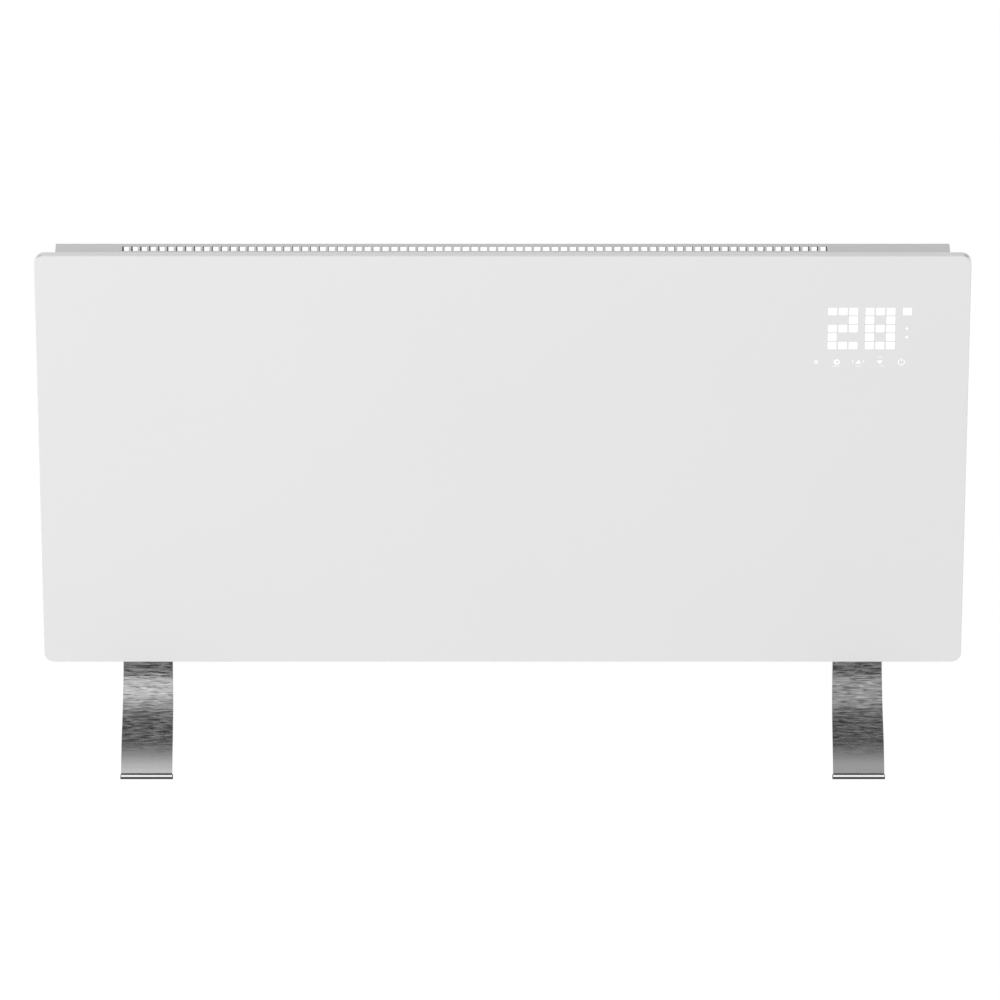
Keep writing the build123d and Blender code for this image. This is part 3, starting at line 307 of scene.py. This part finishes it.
def brushed_foot():
    """Steel brushed across the foot: short wavy streaks along X, polished out towards the toe, with
    a painted highlight on the faces that look to the front and painted shade on the side faces.
    """
    made, tree, shader = new_material("brushed_foot_steel")
    waves = noise(tree, **FOOT_WAVES)
    fine = noise(tree, **FOOT_GRAIN)
    streaks = mixed(tree, FOOT_GRAIN_SHARE, waves, fine)
    mask = rise(tree, along(tree, "Object", "Z"), POLISHED_BELOW, BRUSHED_ABOVE, "SMOOTHSTEP")

    scuffed = ramp(tree, streaks, ((0.43, 1.0), (0.58, 0.78)))
    polished = graded(tree, fine, 1.0, 0.99)
    link(tree, blend_colours(tree, mask, polished, scuffed), shader.inputs["Metallic"])

    brushed = ramp(tree, streaks, ((0.37, 0.30), (0.46, 0.50), (0.58, 0.57), (0.645, 0.76)))
    smooth = graded(tree, fine, 0.58, 0.63)
    tint = blend_colours(tree, mask, smooth, brushed)
    # Faces that look to the front get a near-white tint: a painted highlight.
    front_face_painted_highlight = graded(tree, fine, 0.86, 0.95)
    tint = blend_colours(tree, facing(tree, "Y", -1), tint, front_face_painted_highlight)
    # Faces that look to either side get a dark tint: painted shade.
    side_face_painted_shade = graded(tree, fine, 0.12, 0.20)
    for side in (-1, 1):
        tint = blend_colours(tree, facing(tree, "X", side), tint, side_face_painted_shade)
    link(tree, tint, shader.inputs["Base Color"])

    link(tree, graded(tree, fine, 0.20, 0.26), shader.inputs["Roughness"])
    relief = bump(tree, product(tree, waves, mask), BRUSH_RELIEF, BRUSH_DEPTH)
    link(tree, relief, shader.inputs["Normal"])
    return made


def lit(name, grey, strength):
    """A lit window: a diffusing white that also shines."""
    return surface(
        name, (grey,) * 3, rough=(0.35, 0.45), grain=900, spread=0.02, relief=0.02,
        Emission_Color=(grey, grey, grey, 1.0), Emission_Strength=strength,
    )


def spangled_zinc():
    """Zinc plated sheet: crystal patches that differ a little in tone."""
    made = surface("zinc_sheet", (0.60, 0.61, 0.62), rough=(0.3, 0.5), grain=260, Metallic=1.0)
    tree = made.node_tree
    crystals = tree.nodes.new("ShaderNodeTexVoronoi")
    crystals.inputs["Scale"].default_value = CRYSTALS
    link(tree, surface_place(tree, "Object"), crystals.inputs["Vector"])
    dull, bright = (0.50, 0.51, 0.53), (0.66, 0.67, 0.68)
    tint = ramp(tree, crystals.outputs["Color"], ((0.2, dull), (0.8, bright)))
    link(tree, tint, tree.nodes["Principled BSDF"].inputs["Base Color"])
    return made


def runs(tree, axis):
    """Parallel copper runs across one axis of the object; 1 on a run."""
    lines = tree.nodes.new("ShaderNodeTexWave")
    lines.bands_direction = axis
    lines.inputs["Scale"].default_value = pi / (10 * RUN_PITCH)
    link(tree, surface_place(tree, "Object"), lines.inputs["Vector"])
    return ramp(tree, lines.outputs["Fac"], ((0.70, 0.0), (0.78, 1.0)))


def circuit_board():
    """Solder mask with patches of paler copper runs under it, some upright and some across."""
    made = surface(
        "circuit_board", (0.03, 0.20, 0.09), rough=(0.3, 0.4), grain=900, Coat_Weight=0.3
    )
    tree = made.node_tree
    patches = noise(tree, BOARD_PATCHES, detail=0.0)
    upright_patches = ramp(tree, patches, ((0.52, 0.0), (0.53, 1.0)))
    across_patches = ramp(tree, patches, ((0.42, 1.0), (0.43, 0.0)))
    mottle = noise(tree, BOARD_MOTTLE, detail=1.0)
    bare = ramp(tree, mottle, ((0.35, (0.016, 0.13, 0.055)), (0.65, (0.025, 0.18, 0.075))))
    copper = ramp(tree, mottle, ((0.35, (0.05, 0.28, 0.12)), (0.65, (0.07, 0.33, 0.15))))
    tint = blend_colours(tree, product(tree, upright_patches, runs(tree, "X")), bare, copper)
    tint = blend_colours(tree, product(tree, across_patches, runs(tree, "Z")), tint, copper)
    link(tree, tint, tree.nodes["Principled BSDF"].inputs["Base Color"])
    return made


POWDER = dict(rough=(0.42, 0.55), grain=900, spread=0.012, relief=0.12)
MOULDED = dict(rough=(0.38, 0.52), grain=1500, spread=0.03, relief=0.10)
GLOSSY = dict(rough=(0.22, 0.34), grain=1500, spread=0.1, relief=0.08)
DRAWN = dict(rough=(0.25, 0.42), grain=(60, 1800, 1800), spread=0.10, relief=0.15, Metallic=1.0)
EXTRUDED = dict(rough=(0.4, 0.6), grain=(20, 900, 900), spread=0.08, relief=0.2, Metallic=1.0)
TURNED = dict(rough=(0.22, 0.38), grain=(300, 300, 1800), spread=0.08, relief=0.15, Metallic=1.0)
PLATED = dict(rough=(0.25, 0.40), grain=600, spread=0.08, relief=0.12, Metallic=1.0)
RUBBER = dict(rough=(0.7, 0.85), spread=0.15, relief=0.3)
FOAM = dict(rough=(0.8, 0.95), grain=1200, spread=0.2, relief=0.5)
CERAMIC = dict(rough=(0.5, 0.7), grain=800, spread=0.05, relief=0.2)
LEAD = dict(rough=(0.4, 0.5), grain=900, relief=0.1)

materials = {
    "white_glass": white_glass(),
    "white_steel": surface("white_powder_coat", (0.67, 0.67, 0.67), **POWDER),
    "foot_steel": brushed_foot(),
    "pad_rubber": surface("pad_rubber", (0.045, 0.045, 0.045), grain=700, **RUBBER),
    "tape_foam": surface("foam_tape", (0.12, 0.12, 0.13), **FOAM),
    "zinc_steel": spangled_zinc(),
    "bright_aluminium": surface("rolled_aluminium", (0.78, 0.79, 0.80), **DRAWN),
    "element_aluminium": surface("extruded_aluminium", (0.60, 0.60, 0.60), **EXTRUDED),
    "sheath_steel": surface("sheath_steel", (0.32, 0.31, 0.30), **DRAWN),
    "bush_ceramic": surface("bush_ceramic", (0.78, 0.75, 0.68), **CERAMIC),
    "white_plastic": surface("white_plastic", (0.74, 0.74, 0.72), **MOULDED),
    "black_plastic": surface("black_plastic", (0.03, 0.03, 0.033), **MOULDED),
    "switch_plastic": surface("switch_plastic", (0.04, 0.04, 0.043), **GLOSSY),
    "board_green": circuit_board(),
    "display_light": lit("display_light", 0.95, 0.12),
    "spring_steel": surface("spring_steel", (0.70, 0.70, 0.70), **DRAWN),
    "brass_parts": surface("brass", (0.72, 0.53, 0.24), **TURNED),
    "screw_steel": surface("screw_steel", (0.62, 0.62, 0.63), **PLATED),
    "black_rubber": surface("black_rubber", (0.03, 0.03, 0.03), grain=900, **RUBBER),
    "silicone_lead": surface(
        "silicone_lead", (0.70, 0.68, 0.62), rough=(0.5, 0.6), grain=900, spread=0.05
    ),
    "brown_lead": surface("brown_lead", (0.20, 0.10, 0.05), spread=0.08, **LEAD),
    "grey_lead": surface("grey_lead", (0.42, 0.42, 0.43), spread=0.05, **LEAD),
    "green_lead": surface("green_lead", (0.10, 0.38, 0.08), spread=0.08, **LEAD),
}
symbol_light = lit("symbol_light", 0.95, 0.10)
faint_light = lit("faint_light", 0.86, 0.05)
mark_print = surface("mark_print", (0.72, 0.72, 0.70), **MOULDED)

# The carrier shares the casing's slot, and its coat is painted lighter: a lit copy of the casing's
# powder coat.
painted_lighter_coats = {"panel_carrier": surface("carrier_powder_coat_painted_lighter", (0.80, 0.80, 0.80), **POWDER)}
for part in frame["record"]["subparts"]:
    node = frame["nodes"][part["node"]]
    node.data.materials.clear()
    node.data.materials.append(painted_lighter_coats.get(part["node"], materials[part["material_slot"]]))


# ---- meshes and pieces -----------------------------------------------------------------------
def placed_object(name, data):
    made = bpy.data.objects.new(name, data)
    bpy.context.collection.objects.link(made)
    return made


def mesh_object(name, mesh):
    """A finished bmesh as an object of the scene."""
    data = bpy.data.meshes.new(name)
    mesh.to_mesh(data)
    mesh.free()
    return placed_object(name, data)


def piece(name, mesh, slot, material=None, body=BODY):
    """A finished mesh as a named piece on a body."""
    made = mesh_object(name, mesh)
    made.data.materials.append(material or materials[slot])
    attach(made, body)
    return made


def plate(mesh, outline, place):
    """A thin plate let into a face, from an outline of points in that face."""
    front = [mesh.verts.new(place(a, b, PRINT_PROUD)) for a, b in outline]
    rear = [mesh.verts.new(place(a, b, -PRINT_SUNK)) for a, b in outline]
    mesh.faces.new(front)
    mesh.faces.new(rear[::-1])
    for i in range(len(outline)):
        j = (i + 1) % len(outline)
        mesh.faces.new((front[j], front[i], rear[i], rear[j]))


def round_rectangle(x, z, width, height, radius, steps=4):
    points = []
    for corner in range(4):
        cx = x + (width / 2 - radius) * (1 if corner in (0, 3) else -1)
        cz = z + (height / 2 - radius) * (1 if corner in (0, 1) else -1)
        for step in range(steps + 1):
            angle = pi / 2 * (corner + step / steps)
            points.append((cx + radius * cos(angle), cz + radius * sin(angle)))
    return points


def arc_band(x, z, radius, width, start, end, steps=20):
    """The quads of a band along an arc, from the start to the end angle in degrees."""
    angles = [radians(start + (end - start) * step / steps) for step in range(steps + 1)]
    outer, inner = (
        [(x + edge * cos(angle), z + edge * sin(angle)) for angle in angles]
        for edge in (radius + width / 2, radius - width / 2)
    )
    return [(outer[i], outer[i + 1], inner[i + 1], inner[i]) for i in range(steps)]


# ---- display ---------------------------------------------------------------------------------
glass_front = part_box("glass_front")[0].y
leds_low, leds_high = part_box("display_leds")
display_right = leds_high.x - LED_SIZE / 2
display_top = leds_high.z - LED_SIZE / 2
touch_z = leds_low.z + LED_SIZE / 2
touch_right = display_right - TOUCH_SHIFT


def on_glass(x, z, out):
    """A point over the glass's front face."""
    return (x, glass_front - out, z)


def window(mesh, *rectangle):
    plate(mesh, round_rectangle(*rectangle), on_glass)


def symbol_bar(mesh, key_x, x, z, width, height, corner):
    window(mesh, key_x + x * MM, touch_z + z * MM, width * MM, height * MM, corner * MM)


def symbol_arc(mesh, key_x, radius, width, start, end):
    for band in arc_band(key_x, touch_z, radius * MM, width * MM, start, end):
        plate(mesh, band, on_glass)


def symbol_arrow(mesh, key_x, way):
    """A triangle that points up where way is 1, and down where it is -1."""
    half_width = way * ARROW_HALF_WIDTH * MM
    base_z = touch_z - way * ARROW_BASE * MM
    tip = (key_x, touch_z + way * ARROW_TIP * MM)
    plate(mesh, [tip, (key_x - half_width, base_z), (key_x + half_width, base_z)], on_glass)


def display_pieces():
    digits = bmesh.new()
    block = (BLOCK_WIDTH, BLOCK_HEIGHT, BLOCK_CORNER)
    left = display_right - len(READING) * DIGIT_PITCH
    for place, digit in enumerate(READING):
        for row, cells in enumerate(DIGITS[digit]):
            for column, cell in enumerate(cells):
                if cell == "1":
                    x = left + place * DIGIT_PITCH + column * BLOCK_PITCH_X
                    window(digits, x, display_top - row * BLOCK_PITCH_Z, *block)
    window(digits, display_right, display_top, *block)
    piece("display_digits", digits, "display_light")

    mode_x = touch_right - 4 * TOUCH_PITCH
    power_x, down_x, up_x, timer_x = (
        touch_right - key * TOUCH_PITCH - SYMBOL_SHIFT for key in range(4)
    )
    symbols = bmesh.new()
    for row in DOT_ROWS:
        z = display_top - row * BLOCK_PITCH_Z
        window(symbols, display_right, z, DOT_SIZE, DOT_SIZE, DOT_CORNER)
    symbol_arc(symbols, power_x, *POWER_ARC)
    symbol_bar(symbols, power_x, *POWER_BAR)
    symbol_arrow(symbols, down_x, -1)
    symbol_arrow(symbols, up_x, 1)
    for arc in TIMER_ARCS:
        symbol_arc(symbols, timer_x, *arc)
    piece("touch_symbols", symbols, "display_light", symbol_light)

    faint = bmesh.new()
    keys = ((mode_x, MODE_BARS), (timer_x, TIMER_BARS), (up_x, UP_BARS), (down_x, DOWN_BARS))
    for key_x, bars in keys:
        for bar in bars:
            symbol_bar(faint, key_x, *bar)
    piece("faint_symbols", faint, "display_light", faint_light)


display_pieces()


# ---- mains switch ----------------------------------------------------------------------------
def rocker_marks():
    """The print on the rocker's faces: a ring for off on the upper one, a stroke for on below."""
    hinge = next(j for j in frame["record"]["behaviour"]["joints"] if j["name"] == "rocker_hinge")
    pivot = Vector(hinge["pos_m"])
    tilt = radians(ROCKER_TILT)

    def on_rocker(half):
        """Points on the upper (1) or lower (-1) face, which lean out from the crease by tilt."""
        def place(y, away, out):
            """A point away from the crease; at rest the whole rocker is turned by tilt too."""
            x = ROCKER_RISE + away * sin(tilt) + out * cos(tilt)
            z = half * (away * cos(tilt) - out * sin(tilt))
            return pivot + Vector((x * cos(tilt) - z * sin(tilt), y, x * sin(tilt) + z * cos(tilt)))
        return place

    marks = bmesh.new()
    for band in arc_band(0.0, MARK_PLACE, RING_RADIUS, RING_WIDTH, 0, 360, RING_STEPS):
        plate(marks, band, on_rocker(1))
    stroke = round_rectangle(0.0, MARK_PLACE, STROKE_WIDTH, STROKE_HEIGHT, STROKE_CORNER)
    plate(marks, stroke, on_rocker(-1))
    bmesh.ops.recalc_face_normals(marks, faces=marks.faces)
    piece("rocker_marks", marks, "white_plastic", mark_print, body="rocker")


rocker_marks()


# ---- screws ----------------------------------------------------------------------------------
def lathe(mesh, rings):
    """A closed turned shape around Z from (radius, height) rings, from axis to axis."""
    loops = []
    for radius, height in rings:
        count = SCREW_SIDES if radius > 0 else 1
        turns = [2 * pi * i / count for i in range(count)]
        loops.append([mesh.verts.new((radius * cos(t), radius * sin(t), height)) for t in turns])
    for low, high in zip(loops, loops[1:]):
        for i in range(SCREW_SIDES):
            j = (i + 1) % SCREW_SIDES
            corners = [low[i % len(low)], low[j % len(low)]]
            corners += [high[j % len(high)], high[i % len(high)]]
            mesh.faces.new(list(dict.fromkeys(corners)))
    bmesh.ops.recalc_face_normals(mesh, faces=mesh.faces)


def prism(mesh, bottom, top, low, high):
    """A block between two (half x, half y) sections, at two heights."""
    rings = []
    for (half_x, half_y), height in ((bottom, low), (top, high)):
        corners = ((-half_x, -half_y), (half_x, -half_y), (half_x, half_y), (-half_x, half_y))
        rings.append([mesh.verts.new((x, y, height)) for x, y in corners])
    mesh.faces.new(rings[0][::-1])
    mesh.faces.new(rings[1])
    for i in range(4):
        j = (i + 1) % 4
        mesh.faces.new((rings[0][i], rings[0][j], rings[1][j], rings[1][i]))


def cross_recess_screw(head_radius, head_height, shank_radius, grip):
    """One screw's mesh: its head on +Z over the seat at Z 0, its shank below."""
    turned = bmesh.new()
    head = [(radius * head_radius, height * head_height) for radius, height in HEAD_RINGS]
    lathe(turned, [(0.0, -grip), (shank_radius, -grip), (shank_radius, 0.0)] + head)
    screw = mesh_object("screw_blank", turned)
    cutters = []
    reach, width = RECESS_REACH * head_radius, RECESS_WIDTH * head_radius
    for top in ((reach, width), (width, reach)):
        bottom = tuple(RECESS_TAPER * half for half in top)
        cut = bmesh.new()
        prism(cut, bottom, top, (1 - RECESS_DEPTH) * head_height, RECESS_TOP * head_height)
        cutters.append(mesh_object("screw_cutter", cut))
        recess = screw.modifiers.new("recess", "BOOLEAN")
        recess.operation = "DIFFERENCE"
        recess.solver = "EXACT"
        recess.object = cutters[-1]
    graph = bpy.context.evaluated_depsgraph_get()
    cut_mesh = bpy.data.meshes.new_from_object(screw.evaluated_get(graph))
    for spare in [screw, *cutters]:
        bpy.data.objects.remove(spare)
    return cut_mesh


def loose_boxes(node):
    """The lowest and highest corner of each separate solid of a CAD node."""
    mesh = bmesh.new()
    mesh.from_mesh(frame["nodes"][node].data)
    bmesh.ops.remove_doubles(mesh, verts=mesh.verts, dist=SAME_POINT)
    boxes = []
    left = set(mesh.verts)
    while left:
        island = [left.pop()]
        for vert in island:
            near = {edge.other_vert(vert) for edge in vert.link_edges} & left
            island.extend(near)
            left -= near
        low = Vector(min(vert.co[i] for vert in island) for i in range(3))
        high = Vector(max(vert.co[i] for vert in island) for i in range(3))
        boxes.append((low, high))
    mesh.free()
    return sorted(boxes, key=lambda box: tuple(box[0]))


def screws(name, node, axis, head_height, shank_radius, sign=None):
    """Cross recess screws in place of a node of plain ones along an axis.

    sign is the way the heads point; without it they point away from the middle.
    """
    boxes = loose_boxes(node)
    low, high = boxes[0]
    head_radius = (high - low)[(axis + 1) % 3] / 2
    grip = (high - low)[axis] - head_height
    blank = cross_recess_screw(head_radius, head_height, shank_radius, grip)
    made = bmesh.new()
    for count, (low, high) in enumerate(boxes):
        seat = (low + high) / 2
        way = sign or (1 if seat[axis] > 0 else -1)
        seat[axis] = high[axis] - head_height if way > 0 else low[axis] + head_height
        out = Vector((0.0, 0.0, 0.0))
        out[axis] = way
        spin = Matrix.Rotation(radians(SCREW_TURN * count), 3, "Z").to_quaternion()
        turn = out.to_track_quat("Z", "Y") @ spin
        placed = blank.copy()
        placed.transform(Matrix.Translation(seat) @ turn.to_matrix().to_4x4())
        made.from_mesh(placed)
        bpy.data.meshes.remove(placed)
    bpy.data.meshes.remove(blank)
    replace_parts(piece(name, made, "screw_steel"), node)


screws("side_cross_screws", "side_screws", axis=0, **LARGE_SCREW)
screws("rear_cross_screws", "rear_screws", axis=1, sign=1, **SMALL_SCREW)
screws("foot_cross_screws", "foot_screws", axis=2, sign=-1, **LARGE_SCREW)


# ---- broken edges ----------------------------------------------------------------------------
for width, softened in BROKEN_EDGES:
    for node in softened:
        edge = frame["nodes"][node].modifiers.new("broken_edge", "BEVEL")
        edge.width = width
        edge.segments = BEVEL_SEGMENTS
        edge.limit_method = "ANGLE"
        edge.angle_limit = radians(BEVEL_ANGLE)


# ---- studio ----------------------------------------------------------------------------------
def glow(name, strength, albedo=0.0):
    """An even white glow, with a matt white under it."""
    made, _, shader = new_material(name)
    shader.inputs["Base Color"].default_value = (albedo, albedo, albedo, 1.0)
    shader.inputs["Roughness"].default_value = 1.0
    shader.inputs["Specular IOR Level"].default_value = 0.0
    shader.inputs["Emission Color"].default_value = (1.0, 1.0, 1.0, 1.0)
    shader.inputs["Emission Strength"].default_value = strength
    return made


def stage_plane(name, left, right, near, far, material):
    """A plane over a range of X, between two (y, z) edges."""
    corners = [(left, *near), (right, *near), (right, *far), (left, *far)]
    data = bpy.data.meshes.new(name)
    data.from_pydata(corners, [], [(0, 1, 2, 3)])
    data.materials.append(material)
    made = placed_object(name, data)
    return made


def card(name, low, high, turn, strength, left=-CARD_REACH, right=CARD_REACH):
    """A softbox that only shows in gloss, between two elevations, in front or behind."""
    near, far = (
        (turn * CARD_RADIUS * cos(radians(angle)), CARD_RADIUS * sin(radians(angle)))
        for angle in (low, high)
    )
    made = stage_plane(name, left, right, near, far, glow(name, strength))
    made.visible_camera = False
    made.visible_diffuse = False
    made.visible_shadow = False
    made.visible_transmission = False


pale_floor = glow("pale_floor", FLOOR_GLOW, FLOOR_ALBEDO)
stage_plane("floor", -FLOOR_REACH, FLOOR_REACH, (-FLOOR_REACH, 0), (FLOOR_REACH, 0), pale_floor)

card("front_left_softbox", SOFTBOX_LOW, SOFTBOX_HIGH, IN_FRONT, SOFTBOX_LEFT, right=0.0)
card("front_right_softbox", SOFTBOX_LOW, SOFTBOX_HIGH, IN_FRONT, SOFTBOX_RIGHT, left=0.0)
for step, strength in enumerate(FADE_LIGHTS):
    low = SOFTBOX_HIGH + step * FADE_STEP
    high = low + FADE_STEP
    card(f"front_left_edge_{step}", low, high, IN_FRONT, strength, right=0.0)
    card(f"front_right_edge_{step}", low, high, IN_FRONT, strength * FADE_RIGHT_SHARE, left=0.0)
card("rear_softbox", SOFTBOX_LOW, SOFTBOX_HIGH, BEHIND, SOFTBOX_LEFT)
card("front_skirt", SKIRT_LOW, SOFTBOX_LOW, IN_FRONT, SKIRT_LIGHT)

# Metal mirrors the floor and the softboxes, but neither the dome nor the glass over the feet.
world = bpy.data.worlds.new("studio")
bpy.context.scene.world = world
world.use_nodes = True
world.cycles_visibility.glossy = False
sky_tree = world.node_tree
sky = sky_tree.nodes["Background"]
dome = ramp(sky_tree, along(sky_tree, "Generated", "Z"), ((0.0, 1.0), (1.0, DOME_TOP)))
link(sky_tree, dome, sky.inputs["Color"])
sky.inputs["Strength"].default_value = WORLD_LIGHT
frame["nodes"]["glass_front"].visible_glossy = False

key_light = bpy.data.lights.new("key", "AREA")
key_light.energy = KEY_WATTS
key_light.size = KEY_SIZE
key = placed_object("key", key_light)
key.location = KEY_AT
key.rotation_euler = (Vector(KEY_AIM) - key.location).to_track_quat("-Z", "Y").to_euler()
key.visible_glossy = False

camera_data = bpy.data.cameras.new("camera")
camera_data.lens = SENSOR * FOCAL_PIXELS / IMAGE_SIDE
camera_data.sensor_width = SENSOR
camera_data.clip_end = CAMERA_REACH
camera = placed_object("camera", camera_data)
camera.location = CAMERA_AT
camera.rotation_euler = (radians(90 - CAMERA_PITCH), 0.0, 0.0)
bpy.context.scene.camera = camera
bpy.context.scene.view_settings.view_transform = "Standard"
